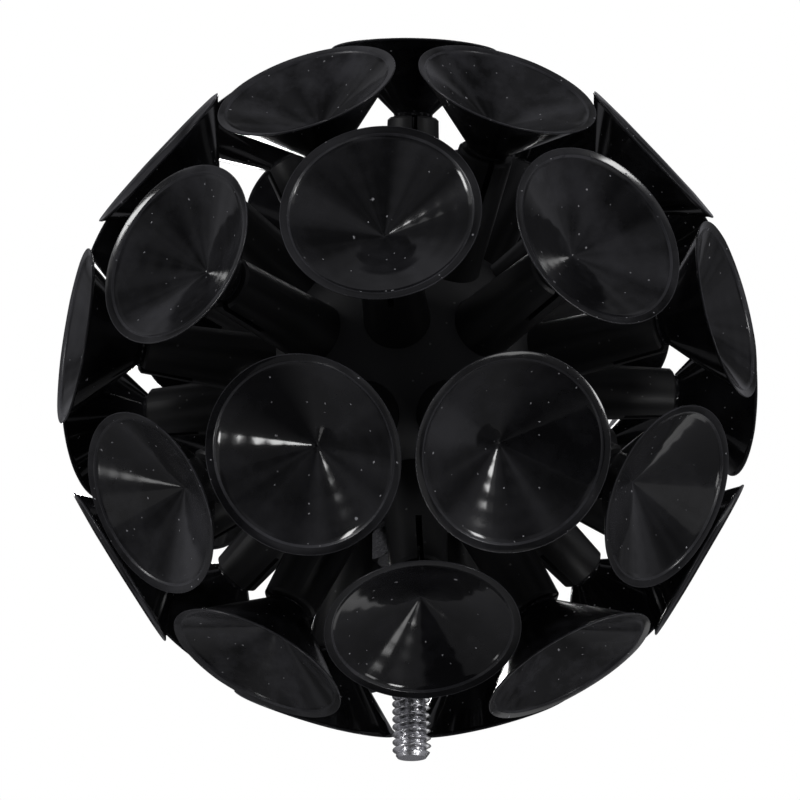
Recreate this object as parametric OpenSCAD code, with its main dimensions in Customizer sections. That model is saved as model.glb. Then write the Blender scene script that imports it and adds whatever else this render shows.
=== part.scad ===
// Suction cup ball on a threaded stud: a ball of soft suction cups, each push-fitted into a split
// tubular post, the posts set in a two-piece round core that a long hex bolt and lock nut clamp
// together. The free end of the bolt is the stud the ball is held by.
// Units are millimetres. The origin is on the stud axis, at the lower face of the lock nut.
// +Z runs from the stud up through the ball. Turn angles count from -Y towards +X.

/* [Suction cups] */
// radius of a cup at its rim
cup_r = 15; // [12:0.5:15]
// distance from the ball's centre to the plane of a cup's rim
rim_dist = 60.4; // [60:0.2:64]
// width of the narrow lip band round the rim
lip_w = 1.2; // [0.6:0.1:2]
// depth of the hollow from the rim plane to its bottom
hollow_depth = 7.5; // [5:0.1:8]
// radius of the neck behind the cup
neck_r = 3.5; // [3.1:0.1:4]
// radius of the peg that sits in the post
peg_r = 2.5; // [2:0.05:2.7]
// length of the peg
peg_len = 10; // [8:0.5:12]

/* [Posts] */
// radius of a post where it leaves the core
post_base_r = 5.5; // [5:0.1:5.6]
// radius of a post at its outer end
post_tip_r = 4.6; // [4.2:0.05:4.8]
// distance from the ball's centre to a post's outer end
post_end = 48.5; // [47:0.1:49.5]
// radial running clearance between peg and socket
peg_gap = 0.05; // [0.03:0.01:0.1]
// width of the slit across a post's outer end
slit_w = 1; // [0.6:0.1:1.4]
// depth of the slit from the post's outer end
slit_depth = 9; // [5:0.5:10]
// radius of the spigot that fixes a post in the core
spigot_r = 2.98; // [2.5:0.01:2.98]

/* [Rings of cups] */
// angle of the crown ring from the top of the ball
crown_polar = 28.8; // [28.4:0.2:30]
// cups in the crown ring
crown_count = 5; // [4:1:5]
// turn of the crown ring's first cup
crown_turn = 4; // [-5:0.5:5]
// angle of the upper ring from the top of the ball
upper_polar = 60.8; // [60:0.1:61]
// cups in the upper ring
upper_count = 10; // [8:1:10]
// turn of the upper ring's first cup
upper_turn = 18.6; // [14:0.2:22]
// angle of the middle ring from the top of the ball
middle_polar = 89.9; // [89.8:0.1:91]
// cups in the middle ring
middle_count = 11; // [9:1:11]
// turn of the middle ring's first cup
middle_turn = -3.5; // [-5:0.5:5]
// angle of the lower ring from the top of the ball
lower_polar = 123.9; // [123:0.1:124]
// cups in the lower ring
lower_count = 10; // [8:1:10]
// turn of the lower ring's first cup
lower_turn = 18; // [14:0.5:22]
// angle of the bottom ring from the top of the ball
bottom_polar = 153.6; // [153:0.2:154]
// cups in the bottom ring
bottom_count = 5; // [4:1:5]
// turn of the bottom ring's first cup
bottom_turn = 4; // [-2:1:8]

/* [Core and bolt] */
// radius of the round core
core_r = 27; // [26.8:0.1:28]
// distance from the ball's centre down to the joint between the core's halves
parting_drop = 7.6; // [7:0.1:8]
// radius of the free thread, over its crests
stud_r = 3.175; // [3.1:0.025:3.2]
// length of the bolt from under its head to its tip
bolt_len = 76.2; // [74:0.1:80]
// distance from the ball's centre to the bolt's tip
tip_dist = 67; // [66:0.1:69]
// width across flats of the bolt head and lock nut
hex_flats = 11.1; // [10.8:0.1:11.1]
// thickness of the lock nut
nut_thick = 5.6; // [4:0.1:5.8]
// thickness of the spring washer
washer_thick = 1.6; // [1.2:0.1:1.6]

/* [Part to show] */
// the one sub-part to show, or all of them

/* [Hidden] */
// flat under the core that the spring washer bears on
flat_dist = core_r - 1;
// height of the ball's centre over the lock nut's lower face
ball_z = flat_dist + washer_thick + nut_thick;
// height, from the ball's centre, of the seat under the bolt head
head_seat = bolt_len - tip_dist;
head_thick = 4;
// radius of the bolt's clamped length, inside the nut and the core
shank_r = stud_r - 0.175;
// a post's seat on the core, and the inner end of its spigot
seat_dist = core_r - 0.7;
spigot_len = 5;
// a polygon's corner radius over its flat radius, for six sides
hex_k = 1 / cos(30);
plug_r = 6.55;
dowel_r = 1.5;
dowel_off = 12;
fine = 96;

// each ring: angle from the top, number of cups, turn of the first cup
rings = [
    [crown_polar, crown_count, crown_turn],
    [upper_polar, upper_count, upper_turn],
    [middle_polar, middle_count, middle_turn],
    [lower_polar, lower_count, lower_turn],
    [bottom_polar, bottom_count, bottom_turn],
];

// ---------- placing ----------

// turn of seat number i in a ring
function seat_turn(ring, i) = ring[2] + i * 360 / ring[1];

// put children, drawn along +Z from the ball's centre, at a polar angle and a turn
module aim(polar, turn) {
    translate([0, 0, ball_z]) rotate([0, 0, turn]) rotate([polar, 0, 0]) children();
}

module aim_seat(ring, i) {
    aim(ring[0], seat_turn(ring, i)) children();
}

// ---------- suction cup ----------

// one cup, its rim plane at rim_dist and its axis on +Z
module cup() {
    neck_z = post_end + 0.1;
    peg_end = post_end - peg_len;
    bead_z = post_end - 4.5;
    rotate_extrude($fn = fine) polygon([
        [0, peg_end], [peg_r - 0.5, peg_end], [peg_r, peg_end + 0.7],
        [peg_r, bead_z - 0.3], [peg_r + 0.3, bead_z], [peg_r + 0.3, bead_z + 0.6],
        [peg_r, bead_z + 0.9], [peg_r, neck_z], [neck_r, neck_z], [neck_r, neck_z + 0.6],
        [cup_r - 0.5, rim_dist - 0.55], [cup_r, rim_dist - 0.3], [cup_r, rim_dist],
        [cup_r - lip_w, rim_dist - 0.35], [0.8, rim_dist - hollow_depth + 0.1],
        [0, rim_dist - hollow_depth]]);
}

module ring_cup(ring, i) {
    color([0.02, 0.02, 0.022]) aim_seat(ring, i) cup();
}

// ---------- posts ----------

// the outside of a post above its seat
module post_body(from_z) {
    rotate_extrude($fn = fine) polygon([
        [0, from_z], [post_base_r, from_z], [post_tip_r, post_end - 0.4],
        [post_tip_r - 0.4, post_end], [0, post_end]]);
}

// the socket that takes a cup's peg, with its groove for the peg's bead, and the slit
module socket() {
    socket_r = peg_r + peg_gap;
    groove_z = post_end - 4.5;
    bottom = post_end - peg_len - 0.3;
    rotate_extrude($fn = fine) polygon([
        [0, bottom], [socket_r, bottom],
        [socket_r, groove_z - 0.3], [socket_r + 0.3, groove_z], [socket_r + 0.3, groove_z + 0.6],
        [socket_r, groove_z + 0.9], [socket_r, post_end + 1], [0, post_end + 1]]);
    translate([-slit_w / 2, -post_base_r - 1, post_end - slit_depth])
        cube([slit_w, 2 * post_base_r + 2, slit_depth + 1]);
}

module post() {
    difference() {
        union() {
            post_body(seat_dist);
            translate([0, 0, seat_dist - spigot_len])
                cylinder(r = spigot_r, h = spigot_len + 0.5, $fn = fine);
        }
        socket();
    }
}

module ring_posts(ring) {
    color([0.03, 0.03, 0.032])
        for (i = [0 : ring[1] - 1]) aim_seat(ring, i) post();
}

// the plug that closes the bolt head's counterbore, domed to the core's own radius
module crown_plug() {
    color([0.16, 0.16, 0.165]) aim(0, 0) intersection() {
        translate([0, 0, head_seat + head_thick + 0.4])
            cylinder(r = plug_r, h = core_r, $fn = fine);
        sphere(r = core_r - 0.1, $fn = fine);
    }
}

// ---------- core ----------

// the flat and the hole for one post
module post_pocket() {
    translate([0, 0, seat_dist]) cylinder(r = post_base_r + 0.1, h = 3, $fn = fine);
    translate([0, 0, seat_dist - spigot_len - 0.2])
        cylinder(r = spigot_r + 0.02, h = spigot_len + 1, $fn = fine);
}

module all_pockets() {
    for (ring = rings) for (i = [0 : ring[1] - 1]) aim_seat(ring, i) post_pocket();
}

module dowel_holes() {
    for (side = [-1, 1]) translate([side * dowel_off, 0, ball_z - parting_drop - 4.2])
        cylinder(r = dowel_r + 0.02, h = 8.4, $fn = fine);
}

// the whole core as one piece: ball, pockets, bolt hole, bolt head's pocket and counterbore
module core_blank() {
    difference() {
        translate([0, 0, ball_z]) sphere(r = core_r, $fn = fine);
        all_pockets();
        dowel_holes();
        translate([0, 0, ball_z - core_r - 1]) cylinder(r = 8.5, h = 1 + core_r - flat_dist, $fn = fine);
        translate([0, 0, ball_z - core_r - 1]) cylinder(r = stud_r + 0.15, h = core_r * 2, $fn = fine);
        translate([0, 0, ball_z + head_seat])
            cylinder(r = (hex_flats / 2 + 0.1) * hex_k, h = head_thick + 0.4, $fn = 6);
        translate([0, 0, ball_z + head_seat + head_thick + 0.4])
            cylinder(r = plug_r + 0.02, h = core_r, $fn = fine);
    }
}

module core_upper() {
    color([0.16, 0.16, 0.165]) intersection() {
        core_blank();
        translate([-50, -50, ball_z - parting_drop]) cube([100, 100, 100]);
    }
}

module core_lower() {
    color([0.16, 0.16, 0.165]) intersection() {
        core_blank();
        translate([-50, -50, ball_z - parting_drop - 100]) cube([100, 100, 100]);
    }
}

module locating_dowels() {
    color([0.7, 0.7, 0.72])
        for (side = [-1, 1]) translate([side * dowel_off, 0, ball_z - parting_drop - 4])
            cylinder(r = dowel_r, h = 8, $fn = fine);
}

// ---------- bolt, washer and nut ----------

// a six-sided blank with both ends' corners turned off
module hex_blank(flats, thick, both_ends) {
    corner = flats / 2 * hex_k;
    slope = 0.9;
    intersection() {
        cylinder(r = corner, h = thick, $fn = 6);
        rotate_extrude($fn = fine) polygon([
            [0, 0], [both_ends ? corner - slope : corner + 1, 0],
            [corner + 1, both_ends ? (1 + slope) * 0.55 : 0],
            [corner + 1, thick - (1 + slope) * 0.55], [corner - slope, thick], [0, thick]]);
    }
}

// the free end has the full thread radius; the clamped length is a little smaller
module stud_bolt() {
    color([0.72, 0.72, 0.74]) union() {
        translate([0, 0, ball_z + head_seat]) hex_blank(hex_flats, head_thick, false);
        translate([0, 0, -0.01]) cylinder(r = shank_r, h = ball_z + head_seat + 0.51, $fn = fine);
        translate([0, 0, ball_z - tip_dist]) rotate_extrude($fn = fine) polygon([
            [0, 0], [stud_r - 0.8, 0], [stud_r, 0.9], [stud_r, tip_dist - ball_z],
            [0, tip_dist - ball_z]]);
    }
}

// a split ring whose cut is slanted
module spring_washer() {
    color([0.6, 0.6, 0.62]) translate([0, 0, nut_thick]) difference() {
        cylinder(r = 6.2, h = washer_thick, $fn = fine);
        translate([0, 0, -1]) cylinder(r = stud_r + 0.2, h = washer_thick + 2, $fn = fine);
        rotate([0, 0, 140]) translate([5, 0, washer_thick / 2]) rotate([25, 0, 0])
            cube([6, 0.9, 6], center = true);
    }
}

module lock_nut() {
    color([0.75, 0.75, 0.77]) difference() {
        hex_blank(hex_flats, nut_thick, true);
        translate([0, 0, -1]) cylinder(r = stud_r + 0.045, h = nut_thick + 2, $fn = fine);
    }
}

// ---------- sub-parts ----------

core_upper();
core_lower();
crown_plug();
ring_posts(rings[0]);  // crown_ring_posts
ring_posts(rings[1]);  // upper_ring_posts
ring_posts(rings[2]);  // middle_ring_posts
ring_posts(rings[3]);  // lower_ring_posts
ring_posts(rings[4]);  // bottom_ring_posts
locating_dowels();
stud_bolt();
spring_washer();
lock_nut();
ring_cup(rings[0], 0);  // crown_cup_1
ring_cup(rings[0], 1);  // crown_cup_2
ring_cup(rings[0], 2);  // crown_cup_3
ring_cup(rings[0], 3);  // crown_cup_4
ring_cup(rings[0], 4);  // crown_cup_5
ring_cup(rings[1], 0);  // upper_cup_1
ring_cup(rings[1], 1);  // upper_cup_2
ring_cup(rings[1], 2);  // upper_cup_3
ring_cup(rings[1], 3);  // upper_cup_4
ring_cup(rings[1], 4);  // upper_cup_5
ring_cup(rings[1], 5);  // upper_cup_6
ring_cup(rings[1], 6);  // upper_cup_7
ring_cup(rings[1], 7);  // upper_cup_8
ring_cup(rings[1], 8);  // upper_cup_9
ring_cup(rings[1], 9);  // upper_cup_10
ring_cup(rings[2], 0);  // middle_cup_1
ring_cup(rings[2], 1);  // middle_cup_2
ring_cup(rings[2], 2);  // middle_cup_3
ring_cup(rings[2], 3);  // middle_cup_4
ring_cup(rings[2], 4);  // middle_cup_5
ring_cup(rings[2], 5);  // middle_cup_6
ring_cup(rings[2], 6);  // middle_cup_7
ring_cup(rings[2], 7);  // middle_cup_8
ring_cup(rings[2], 8);  // middle_cup_9
ring_cup(rings[2], 9);  // middle_cup_10
ring_cup(rings[2], 10);  // middle_cup_11
ring_cup(rings[3], 0);  // lower_cup_1
ring_cup(rings[3], 1);  // lower_cup_2
ring_cup(rings[3], 2);  // lower_cup_3
ring_cup(rings[3], 3);  // lower_cup_4
ring_cup(rings[3], 4);  // lower_cup_5
ring_cup(rings[3], 5);  // lower_cup_6
ring_cup(rings[3], 6);  // lower_cup_7
ring_cup(rings[3], 7);  // lower_cup_8
ring_cup(rings[3], 8);  // lower_cup_9
ring_cup(rings[3], 9);  // lower_cup_10
ring_cup(rings[4], 0);  // bottom_cup_1
ring_cup(rings[4], 1);  // bottom_cup_2
ring_cup(rings[4], 2);  // bottom_cup_3
ring_cup(rings[4], 3);  // bottom_cup_4
ring_cup(rings[4], 4);  // bottom_cup_5
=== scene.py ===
import math
import random
import bpy
import bmesh
from mathutils import Matrix, Vector


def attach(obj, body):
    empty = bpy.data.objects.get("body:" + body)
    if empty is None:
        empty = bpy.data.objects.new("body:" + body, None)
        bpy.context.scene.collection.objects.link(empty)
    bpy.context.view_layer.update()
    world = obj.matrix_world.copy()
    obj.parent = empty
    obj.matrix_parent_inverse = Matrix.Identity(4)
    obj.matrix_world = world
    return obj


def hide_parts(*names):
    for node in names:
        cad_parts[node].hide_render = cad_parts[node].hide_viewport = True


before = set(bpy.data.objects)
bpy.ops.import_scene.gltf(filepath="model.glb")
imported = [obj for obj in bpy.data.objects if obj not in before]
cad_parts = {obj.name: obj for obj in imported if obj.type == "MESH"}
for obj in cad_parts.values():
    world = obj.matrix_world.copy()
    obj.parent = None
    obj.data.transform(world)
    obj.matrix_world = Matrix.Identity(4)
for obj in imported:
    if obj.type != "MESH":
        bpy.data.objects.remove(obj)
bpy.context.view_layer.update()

MM = 0.001
rnd = random.Random(11)

# ---------- sizes, the same as the CAD's, in millimetres ----------
CUP_R, RIM, HOLLOW, LIP = 15.0, 60.4, 7.5, 1.2
POST_END, PEG_LEN = 48.5, 10.0
STUD_R, PITCH, TIP, CORE_R = 3.175, 1.27, 67.0, 27.0
BOLT_LEN, HEAD_T = 76.2, 4.0
NUT_T, WASHER_T, FLATS = 5.6, 1.6, 11.1
BALL_Z = CORE_R - 1 + WASHER_T + NUT_T
THREAD_TOP = 6.6
# the hollow's cone: its edge inside the lip, and its small round tip
EDGE_R, EDGE_DROP = CUP_R - LIP - 0.25, 0.62
TIP_R, TIP_RISE = 0.35, 0.09
# faint rings that the turned mould leaves in the hollow
MOULD_PITCH, MOULD_DEPTH = 2.5, 0.008
RINGS = [("crown", 28.8, 5, 4.0), ("upper", 60.8, 10, 18.6), ("middle", 89.9, 11, -3.5),
         ("lower", 123.9, 10, 18.0), ("bottom", 153.6, 5, 4.0)]
CENTRE = Vector((0, 0, BALL_Z * MM))


def aim(polar, turn):
    """Turns a thing drawn along +Z from the ball's centre to its seat on the ball."""
    spin = Matrix.Rotation(math.radians(turn), 4, "Z") @ Matrix.Rotation(math.radians(polar), 4, "X")
    return Matrix.Translation(CENTRE) @ spin


# ---------- materials ----------
def new_material(name):
    m = bpy.data.materials.new(name)
    m.use_nodes = True
    m.node_tree.nodes.clear()
    n, l = m.node_tree.nodes, m.node_tree.links
    out = n.new("ShaderNodeOutputMaterial")
    b = n.new("ShaderNodeBsdfPrincipled")
    l.new(b.outputs[0], out.inputs[0])
    return m, n, l, b


def noise(n, l, coord, scale, detail=4.0, rough=0.55, kind="noise"):
    t = n.new("ShaderNodeTexVoronoi" if kind == "cells" else "ShaderNodeTexNoise")
    t.inputs["Scale"].default_value = scale
    if kind != "cells":
        t.inputs["Detail"].default_value = detail
        t.inputs["Roughness"].default_value = rough
    l.new(coord, t.inputs["Vector"])
    return t


def ramp(n, l, source, stops):
    r = n.new("ShaderNodeValToRGB")
    r.color_ramp.elements[0].position, r.color_ramp.elements[1].position = stops[0][0], stops[-1][0]
    r.color_ramp.elements[0].color = stops[0][1]
    r.color_ramp.elements[1].color = stops[-1][1]
    for p, c in stops[1:-1]:
        r.color_ramp.elements.new(p).color = c
    l.new(source, r.inputs[0])
    return r.outputs[0]


def grey(v, tint=0.0):
    return (v, v, v * (1 + tint), 1)


def mix_colour(n, l, fac, a, b):
    m = n.new("ShaderNodeMix")
    m.data_type = "RGBA"
    l.new(fac, m.inputs[0])
    for s, v in ((m.inputs[6], a), (m.inputs[7], b)):
        if isinstance(v, tuple):
            s.default_value = v
        else:
            l.new(v, s)
    return m.outputs[2]


def bump(n, l, height, strength, distance, normal=None):
    b = n.new("ShaderNodeBump")
    b.inputs["Strength"].default_value = strength
    b.inputs["Distance"].default_value = distance
    l.new(height, b.inputs["Height"])
    if normal is not None:
        l.new(normal, b.inputs["Normal"])
    return b.outputs[0]


def coords(n):
    return n.new("ShaderNodeTexCoord").outputs["Object"]


def dust(n, l, c, seed, scale, size, share):
    """1 where a speck of dust lies, 0 elsewhere. share is the part of the cells that hold one."""
    warp = noise(n, l, c, scale * 2.5, 2)
    shift = n.new("ShaderNodeVectorMath")
    shift.operation = "MULTIPLY_ADD"
    l.new(warp.outputs[1], shift.inputs[0])
    shift.inputs[1].default_value = (0.35 / scale,) * 3
    l.new(c, shift.inputs[2])
    moved = n.new("ShaderNodeVectorMath")
    moved.inputs[1].default_value = (seed, seed * 0.7, seed * 1.3)
    l.new(shift.outputs[0], moved.inputs[0])
    cells = noise(n, l, moved.outputs[0], scale, kind="cells")
    near = ramp(n, l, cells.outputs["Distance"], [(0, grey(1)), (size, grey(1)), (size * 1.8, grey(0))])
    pick = n.new("ShaderNodeSeparateColor")
    l.new(cells.outputs["Color"], pick.inputs[0])
    some = ramp(n, l, pick.outputs[0], [(0, grey(0)), (1 - share, grey(0)), (1.01 - share, grey(1))])
    both = n.new("ShaderNodeMath")
    both.operation = "MULTIPLY"
    l.new(near, both.inputs[0])
    l.new(some, both.inputs[1])
    return both.outputs[0]


def either(n, l, a, b):
    m = n.new("ShaderNodeMath")
    m.operation = "MAXIMUM"
    l.new(a, m.inputs[0])
    l.new(b, m.inputs[1])
    return m.outputs[0]


def black_vinyl(name, seed, haze, lip=False):
    """Glossy black soft vinyl: faint hazy bloom, moulding ripple, a few specks of dust.
    The lip's edges are scuffed, so they are duller; they are also a little paler than the rest, partly from
    the scuffs and partly as painted light for light showing through the thin edge."""
    m, n, l, b = new_material(name)
    c = coords(n)
    bloom = noise(n, l, c, 75 + seed, 6, 0.62)
    hazy = ramp(n, l, bloom.outputs[0], [(0.46, grey(0)), (0.66, grey(1))])
    # the lip's paler base is partly scuff wear and partly painted light through the thin edge
    low, high = (0.020, 0.045) if lip else (0.006, 0.016 + haze * 0.25)
    base = mix_colour(n, l, hazy, grey(low, 0.12), grey(high, 0.12))
    specks = either(n, l, dust(n, l, c, seed * 0.013, 340, 0.058, 0.15),
                    dust(n, l, c, seed * 0.017 + 1, 760, 0.070, 0.22))
    l.new(mix_colour(n, l, specks, base, grey(0.34, 0.05)), b.inputs["Base Color"])
    r0, r1 = (0.20, 0.32) if lip else (0.065 + haze * 0.5, 0.13 + haze * 1.6)
    rough = ramp(n, l, bloom.outputs[0], [(0.35, grey(r0)), (0.72, grey(r1))])
    l.new(mix_colour(n, l, specks, rough, grey(0.7)), b.inputs["Roughness"])
    b.inputs["IOR"].default_value = 1.45
    b.inputs["Specular IOR Level"].default_value = 0.34
    fine = noise(n, l, c, 900, 3)
    ripple = noise(n, l, c, 130, 2)
    first = bump(n, l, ripple.outputs[0], 0.16, 0.0002)
    second = bump(n, l, fine.outputs[0], 0.04, 0.00004, first)
    l.new(bump(n, l, specks, 0.5, 0.00006, second), b.inputs["Normal"])
    return m


def moulded(name, low, high, rough_low, rough_high, grain, dusty):
    """Hard moulded plastic with fine grain and settled dust."""
    m, n, l, b = new_material(name)
    c = coords(n)
    cloud = noise(n, l, c, 70, 6, 0.65)
    base = mix_colour(n, l, cloud.outputs[0], grey(low, 0.06), grey(high, 0.04))
    specks = dust(n, l, c, 3.1, 700, 0.09, 0.2)
    l.new(mix_colour(n, l, specks, base, grey(dusty)), b.inputs["Base Color"])
    l.new(ramp(n, l, cloud.outputs[0], [(0.3, grey(rough_low)), (0.7, grey(rough_high))]),
          b.inputs["Roughness"])
    g = noise(n, l, c, 1400, 3)
    wave = noise(n, l, c, 120, 2)
    l.new(bump(n, l, g.outputs[0], grain, 0.00006, bump(n, l, wave.outputs[0], 0.12, 0.0002)),
          b.inputs["Normal"])
    b.inputs["Specular IOR Level"].default_value = 0.22
    return m


def steel(name, low, high, rough_low, rough_high, stretch):
    """Plated steel: drawn or turned marks, dull patches and small dark stains."""
    m, n, l, b = new_material(name)
    c = coords(n)
    mapped = n.new("ShaderNodeMapping")
    mapped.inputs["Scale"].default_value = stretch
    l.new(c, mapped.inputs["Vector"])
    marks = noise(n, l, mapped.outputs[0], 900, 5, 0.7)
    patch = noise(n, l, c, 260, 5, 0.6)
    tone = mix_colour(n, l, patch.outputs[0], grey(low, 0.02), grey(high, 0.03))
    stain = ramp(n, l, patch.outputs[0], [(0.22, grey(1)), (0.36, grey(0))])
    l.new(mix_colour(n, l, stain, tone, (0.16, 0.14, 0.12, 1)), b.inputs["Base Color"])
    b.inputs["Metallic"].default_value = 1.0
    l.new(ramp(n, l, marks.outputs[0], [(0.3, grey(rough_low)), (0.7, grey(rough_high))]),
          b.inputs["Roughness"])
    l.new(bump(n, l, marks.outputs[0], 0.25, 0.00004), b.inputs["Normal"])
    return m


VINYL = [black_vinyl(f"cup_vinyl_{k}", 7 * k + 1, h) for k, h in enumerate((0.0, 0.03, 0.08))]
# the lip's paler colour is partly scuffs and partly painted light
LIP_VINYL = black_vinyl("cup_lip_vinyl", 4, 0.0, lip=True)
POST = moulded("post_plastic", 0.010, 0.018, 0.34, 0.50, 0.18, 0.08)
CORE = moulded("core_plastic", 0.018, 0.034, 0.5, 0.72, 0.35, 0.10)
ZINC = steel("zinc_steel", 0.62, 0.82, 0.16, 0.34, (1, 1, 6))
# painted shade: the lock nut's steel is made dark, for the shadow it sits in under the cups
NUT_SHADE_STEEL = steel("nut_painted_shade_steel", 0.07, 0.24, 0.18, 0.40, (1, 1, 4))
PLAIN = steel("spring_steel", 0.42, 0.6, 0.3, 0.5, (1, 1, 3))


# ---------- mesh helpers ----------
def to_mesh(bm, name):
    mesh = bpy.data.meshes.new(name)
    bm.to_mesh(mesh)
    bm.free()
    return mesh


def bridge(bm, loops):
    """Joins rings of the same number of points into a tube."""
    for a, b in zip(loops, loops[1:]):
        for s in range(len(a)):
            t = (s + 1) % len(a)
            bm.faces.new((a[s], b[s], b[t], a[t]))


def link(o):
    bpy.context.scene.collection.objects.link(o)
    return o


def lathe(name, profile, steps=128, wobble=None):
    """Turns a profile of (radius, height) points in millimetres round Z. Ends on the axis are closed.
    wobble(radius, height, angle) returns a small shift (dr, dh) in millimetres."""
    bm = bmesh.new()
    rings = []
    for r, h in profile:
        if r < 1e-6:
            rings.append([bm.verts.new((0, 0, h * MM))])
            continue
        ring = []
        for s in range(steps):
            a = 2 * math.pi * s / steps
            dr, dh = wobble(r, h, a) if wobble else (0, 0)
            ring.append(bm.verts.new(((r + dr) * math.cos(a) * MM, (r + dr) * math.sin(a) * MM,
                                      (h + dh) * MM)))
        rings.append(ring)
    for a, b in zip(rings, rings[1:]):
        for s in range(steps):
            t = (s + 1) % steps
            if len(a) == 1 and len(b) == 1:
                continue
            if len(a) == 1:
                bm.faces.new((a[0], b[s], b[t]))
            elif len(b) == 1:
                bm.faces.new((a[s], b[0], a[t]))
            else:
                bm.faces.new((a[s], b[s], b[t], a[t]))
    bmesh.ops.recalc_face_normals(bm, faces=bm.faces)
    return to_mesh(bm, name)


def smooth(mesh, angle):
    """Smooth shading, with edges sharper than angle kept crisp."""
    bm = bmesh.new()
    bm.from_mesh(mesh)
    for f in bm.faces:
        f.smooth = True
    for e in bm.edges:
        e.smooth = not (len(e.link_faces) == 2 and e.calc_face_angle(0) > math.radians(angle))
    bm.to_mesh(mesh)
    bm.free()


def add(name, mesh, material, body, nodes):
    o = link(bpy.data.objects.new(name, mesh))
    mesh.materials.clear()
    mesh.materials.append(material)
    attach(o, body)
    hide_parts(*nodes)
    return o


def rounded(points, radius, steps=4):
    """Rounds the inner corners of an open (r, h) profile with small arcs."""
    out = [points[0]]
    for p, q, s in zip(points, points[1:], points[2:]):
        a, b = Vector(p) - Vector(q), Vector(s) - Vector(q)
        cut = min(radius, a.length * 0.45, b.length * 0.45)
        a, b = a.normalized() * cut, b.normalized() * cut
        for k in range(steps + 1):
            t = k / steps
            v = Vector(q) + a * (1 - t) ** 2 + b * t ** 2
            out.append((v.x, v.y))
    out.append(points[-1])
    return out


# ---------- suction cups ----------
NECK = POST_END + 0.1
BEAD = POST_END - 4.5


def cup_profile():
    outside = [(0, POST_END - PEG_LEN), (2.0, POST_END - PEG_LEN), (2.5, POST_END - PEG_LEN + 0.7),
               (2.5, BEAD - 0.3), (2.8, BEAD), (2.8, BEAD + 0.6), (2.5, BEAD + 0.9), (2.5, NECK),
               (3.48, NECK), (3.48, NECK + 0.6), (CUP_R - 0.55, RIM - 0.6), (CUP_R - 0.02, RIM - 0.32),
               (CUP_R - 0.02, RIM - 0.02), (CUP_R - LIP, RIM - 0.36), (EDGE_R, RIM - EDGE_DROP)]
    out = rounded(outside, 0.2, 4)
    # the hollow is a true cone, finely divided so that its ripple shows
    steps, h0, h1 = 22, RIM - EDGE_DROP, RIM - HOLLOW + TIP_RISE
    out += [(EDGE_R + (TIP_R - EDGE_R) * k / steps, h0 + (h1 - h0) * k / steps) for k in range(1, steps + 1)]
    return out + [(0, RIM - HOLLOW)]


def inside(r, h):
    """True for points of the hollow, which lie near its cone."""
    return abs(h - (RIM - HOLLOW + (HOLLOW - EDGE_DROP) * r / EDGE_R)) < 0.15


CUP_PROFILE = cup_profile()
# cups whose hollows are the dustiest, and cups that are the cleanest
HAZE = {"upper_cup_1": 2, "upper_cup_10": 2, "bottom_cup_2": 2, "bottom_cup_5": 2, "middle_cup_2": 1,
        "middle_cup_1": 0, "lower_cup_1": 0, "lower_cup_10": 0, "bottom_cup_1": 0}


def lip_edge(face):
    """True for the lip's outer edge and the step inside it, but not for the flat between them."""
    r, z = math.hypot(face.center.x, face.center.y) / MM, face.center.z / MM
    on_flat = CUP_R - LIP + 0.1 < r < CUP_R - 0.3
    return r > CUP_R - LIP - 0.3 and z > RIM - 0.75 and not on_flat


def cup(name, body, polar, turn):
    p1, p2, p3, p4 = (rnd.uniform(0, 6.28) for _ in range(4))
    k1, k2 = rnd.uniform(0.02, 0.06), rnd.uniform(0.01, 0.03)

    def wobble(r, h, a):
        """Soft vinyl sags a little between its post and its lip, more towards the lip."""
        turned = 0.0
        if inside(r, h) and 1.5 < r < 12.8:
            turned = MOULD_DEPTH * (math.sin(2 * math.pi * r / MOULD_PITCH + p4) - 1)
        if r < 5 or h < POST_END + 3:
            return 0, turned
        w = ((r - 5) / 10) ** 2
        sag = k1 * math.sin(2 * a + p1) + k2 * math.sin(3 * a + p2) + 0.010 * math.sin(7 * a + p3)
        return -abs(sag) * 0.35 * w, -abs(sag) * w + turned

    mesh = lathe(name, CUP_PROFILE, 144, wobble)
    smooth(mesh, 32)
    edges = [f.index for f in mesh.polygons if lip_edge(f)]
    mesh.transform(aim(polar, turn) @ Matrix.Rotation(rnd.uniform(0, 6.28), 4, "Z"))
    add(name + "_skin", mesh, VINYL[HAZE.get(name, rnd.choice((0, 0, 1)))], body, [name])
    mesh.materials.append(LIP_VINYL)
    for k in edges:
        mesh.polygons[k].material_index = 1


for ring, polar, count, turn in RINGS:
    for i in range(count):
        cup(f"{ring}_cup_{i + 1}", f"{ring}_cup_{i + 1}", polar, turn + i * 360 / count)

# ---------- CAD pieces kept, with better finishes ----------
# the lock nut gets the darkened steel, which is painted shade
FINISH = {"core_upper": CORE, "core_lower": CORE, "locating_dowels": PLAIN, "spring_washer": PLAIN,
          "crown_plug": CORE, "lock_nut": NUT_SHADE_STEEL}
for name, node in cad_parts.items():
    if name.endswith("_posts"):
        FINISH[name] = POST
for name, material in FINISH.items():
    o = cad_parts[name]
    for s in o.material_slots:
        s.material = material
    if not o.material_slots:
        o.data.materials.append(material)


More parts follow.
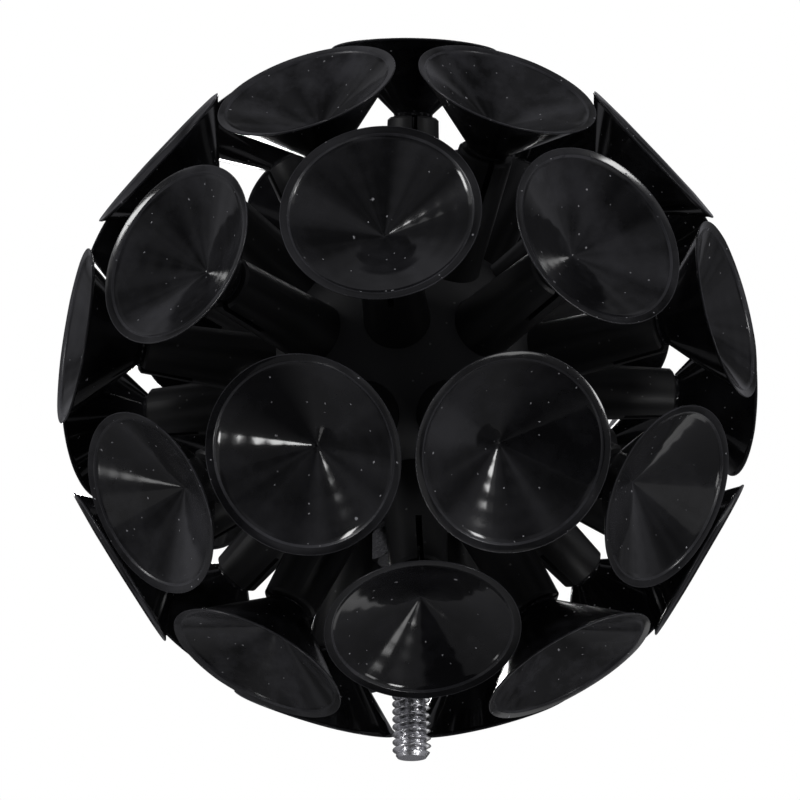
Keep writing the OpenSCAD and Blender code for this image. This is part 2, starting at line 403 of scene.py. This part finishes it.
# ---------- bolt with a real helical thread, and its hex head ----------
def hex_head(name, flats, z0, thick):
    """A bolt's hex head with its top corners turned off: each ring is the lesser of hexagon and cone."""
    steps, rows, corner = 96, 24, flats / 2 / math.cos(math.pi / 6)
    bm = bmesh.new()
    loops = []
    for k in range(rows + 1):
        z = thick * k / rows
        cone = corner - 0.9 + (thick - z) / 0.55
        ring = []
        for s in range(steps):
            a = 2 * math.pi * s / steps
            off_flat = (a + math.pi / 6) % (math.pi / 3) - math.pi / 6
            r = min(flats / 2 / math.cos(off_flat), cone)
            ring.append(bm.verts.new((r * math.cos(a) * MM, r * math.sin(a) * MM, (z0 + z) * MM)))
        loops.append(ring)
    bridge(bm, loops)
    bm.faces.new(loops[0])
    bm.faces.new(loops[-1])
    bmesh.ops.recalc_face_normals(bm, faces=bm.faces)
    return to_mesh(bm, name)


def thread_mesh(name, z_low, z_high, r, pitch):
    """A right-hand helical thread, its crests at radius r, closed at both ends. z in mm."""
    steps, depth, rows = 48, 0.61 * pitch, 14
    bm = bmesh.new()
    turns = (z_high - z_low) / pitch
    total = int(turns * rows)
    loops = []
    for j in range(total + 1):
        z = z_low + (z_high - z_low) * j / total
        ring = []
        for s in range(steps):
            a = 2 * math.pi * s / steps
            # right hand: going round with the angle, the crest climbs along +z
            ph = ((z - z_low) / pitch - a / (2 * math.pi)) % 1.0
            d = abs(ph - 0.5) * 2
            # flat crest, straight flank, narrow root
            cut = min(1.0, max(0.0, (d - 0.14) / 0.74))
            rr = r - depth * cut
            end = min(1.0, (z - z_low) / 1.1)
            rr = min(rr, r - 0.8 + 0.8 * end)
            ring.append(bm.verts.new((rr * math.cos(a) * MM, rr * math.sin(a) * MM, z * MM)))
        loops.append(ring)
    bridge(bm, loops)
    bm.faces.new(list(reversed(loops[0])))
    bm.faces.new(loops[-1])
    bmesh.ops.recalc_face_normals(bm, faces=bm.faces)
    return to_mesh(bm, name)


def joined(name, parts):
    bm = bmesh.new()
    for part in parts:
        bm.from_mesh(part)
    return to_mesh(bm, name)


HEAD_Z, SHANK_R = BALL_Z + BOLT_LEN - TIP, STUD_R - 0.06
shank = lathe("shank", rounded([(0, THREAD_TOP - 0.1), (SHANK_R, THREAD_TOP - 0.1),
                                (SHANK_R, HEAD_Z + 0.3), (0, HEAD_Z + 0.3)], 0.1), 64)
head = hex_head("head", FLATS - 0.02, HEAD_Z, HEAD_T)
thread = thread_mesh("thread", BALL_Z - TIP, THREAD_TOP, STUD_R - 0.01, PITCH)
bolt = joined("stud_bolt_skin", [shank, head, thread])
smooth(bolt, 28)
add("stud_bolt_skin", bolt, ZINC, "ball_frame", ["stud_bolt"])

# ---------- floor, world, light and camera ----------
ELEV, ROLL, RANGE = -25.7, -0.7, 0.2868
SENSOR, LENS, SHIFT_X, SHIFT_Y = 36.0, 71.145, -0.00925, -0.015375
eye_dir = Vector((0, -math.cos(math.radians(ELEV)), math.sin(math.radians(ELEV))))
cam_data = bpy.data.cameras.new("camera")
cam = link(bpy.data.objects.new("camera", cam_data))
cam_data.sensor_width, cam_data.lens = SENSOR, LENS
cam_data.clip_start, cam_data.clip_end = 0.01, 50
cam_data.shift_x, cam_data.shift_y = SHIFT_X, SHIFT_Y
look = (-eye_dir).to_track_quat("-Z", "Y").to_matrix().to_4x4()
roll = Matrix.Rotation(math.radians(ROLL), 4, "Z")
cam.matrix_world = Matrix.Translation(CENTRE + eye_dir * RANGE) @ look @ roll
bpy.context.scene.camera = cam
bpy.context.scene.view_settings.view_transform = "Standard"

FLOOR_Z, FLOOR_HALF = -1.0, 1.5
bm = bmesh.new()
bmesh.ops.create_grid(bm, x_segments=4, y_segments=4, size=FLOOR_HALF)
floor_mesh = to_mesh(bm, "floor")
floor = link(bpy.data.objects.new("floor", floor_mesh))
floor.location = (0, 0, FLOOR_Z)
fm, n, l, b = new_material("floor_paper")
c = coords(n)
paper = noise(n, l, c, 30, 4)
# painted shade of the ball on the paper: darkest straight below it
away = n.new("ShaderNodeVectorMath")
away.operation = "LENGTH"
l.new(c, away.inputs[0])
painted_ball_shade = ramp(n, l, away.outputs["Value"], [(0.22, grey(0.06)), (0.62, grey(1))])
sheet = mix_colour(n, l, paper.outputs[0], grey(0.86), grey(0.90))
l.new(mix_colour(n, l, painted_ball_shade, grey(0.05), sheet), b.inputs["Base Color"])
b.inputs["Roughness"].default_value = 0.9
l.new(bump(n, l, paper.outputs[0], 0.05, 0.0005), b.inputs["Normal"])
# the paper is white to look at, as the backdrop is, and dim where the cups mirror it
lit = n.new("ShaderNodeEmission")
l.new(mix_colour(n, l, paper.outputs[0], grey(0.88), grey(0.93)), lit.inputs[0])
seen = n.new("ShaderNodeMixShader")
l.new(n.new("ShaderNodeLightPath").outputs["Is Camera Ray"], seen.inputs[0])
l.new(b.outputs[0], seen.inputs[1])
l.new(lit.outputs[0], seen.inputs[2])
l.new(seen.outputs[0], n["Material Output"].inputs[0])
floor_mesh.materials.append(fm)

# a white studio as the camera sees it; what the cups mirror is a dim, patchy room, darker at the back
world = bpy.data.worlds.new("world")
bpy.context.scene.world = world
world.use_nodes = True
n, l = world.node_tree.nodes, world.node_tree.links
n.clear()
out = n.new("ShaderNodeOutputWorld")
white, room, pick = n.new("ShaderNodeBackground"), n.new("ShaderNodeBackground"), n.new("ShaderNodeMixShader")
white.inputs[0].default_value = (1, 1, 1, 1)
path = n.new("ShaderNodeLightPath")
toward = n.new("ShaderNodeTexCoord").outputs["Generated"]
along = n.new("ShaderNodeSeparateXYZ")
l.new(toward, along.inputs[0])
patches = noise(n, l, toward, 1.9, 3, 0.5)
soft = ramp(n, l, patches.outputs[0], [(0.36, grey(0.05)), (0.62, grey(0.42, 0.08))])
behind = ramp(n, l, along.outputs[1], [(0.30, grey(1)), (0.85, grey(0.3))])
l.new(mix_colour(n, l, behind, grey(0.02), soft), room.inputs[0])
l.new(path.outputs["Is Camera Ray"], pick.inputs[0])
l.new(room.outputs[0], pick.inputs[1])
l.new(white.outputs[0], pick.inputs[2])
l.new(pick.outputs[0], out.inputs[0])


def bearing(turn, rise):
    """A direction from the ball: turn in degrees from -Y towards +X, rise above level."""
    t, e = math.radians(turn), math.radians(rise)
    return Vector((math.sin(t) * math.cos(e), -math.cos(t) * math.cos(e), math.sin(e))).normalized()


def glow(name, turn, rise, distance, wide, high, strength):
    """A lamp as bright as strength, where 1 is the white backdrop's own brightness. Sizes are in metres."""
    d = bpy.data.lights.new(name, "AREA")
    d.shape = "RECTANGLE"
    d.size, d.size_y, d.energy = wide, high, strength * math.pi * wide * high
    o = link(bpy.data.objects.new(name, d))
    o.location = CENTRE + bearing(turn, rise) * distance
    o.rotation_euler = (o.location - CENTRE).to_track_quat("Z", "Y").to_euler()
    o.visible_camera = False


glow("window_left", -57, 13, 0.8, 0.10, 0.19, 26)
glow("window_left_soft", -66, 22, 0.9, 0.30, 0.22, 1.2)
glow("window_right", 51, 10, 0.7, 0.09, 0.11, 26)
glow("window_right_soft", 50, 14, 0.9, 0.26, 0.26, 0.5)
glow("low_front_right", 30, -51, 0.7, 0.09, 0.07, 26)
glow("low_right", 58, -53, 0.7, 0.09, 0.09, 6)
glow("low_right_soft", 50, -34, 0.9, 0.55, 0.40, 0.4)
glow("low_left", -82, -54, 0.7, 0.06, 0.06, 6)
glow("low_left_soft", -58, -38, 0.9, 0.34, 0.26, 0.3)
glow("back_left", -164, 20, 0.7, 0.12, 0.12, 24)
glow("back_high", 176, 48, 0.8, 0.30, 0.16, 6)
glow("back_low", 148, -30, 0.9, 0.40, 0.30, 0.7)

# whoever holds the camera is a dark shape in the reflections
CARD_R, CARD_RANGE, card_way = 0.17, 0.45, bearing(-20, -45)
bm = bmesh.new()
bmesh.ops.create_circle(bm, cap_ends=True, segments=48, radius=CARD_R)
card_mesh = to_mesh(bm, "dark_card")
card = link(bpy.data.objects.new("dark_card", card_mesh))
card.location = CENTRE + card_way * CARD_RANGE
card.rotation_euler = card_way.to_track_quat("Z", "Y").to_euler()
card.visible_camera = False
dm, n, l, b = new_material("dark_cloth")
cloth = noise(n, l, coords(n), 60, 4)
l.new(mix_colour(n, l, cloth.outputs[0], grey(0.003), grey(0.012)), b.inputs["Base Color"])
b.inputs["Roughness"].default_value = 0.9
card_mesh.materials.append(dm)
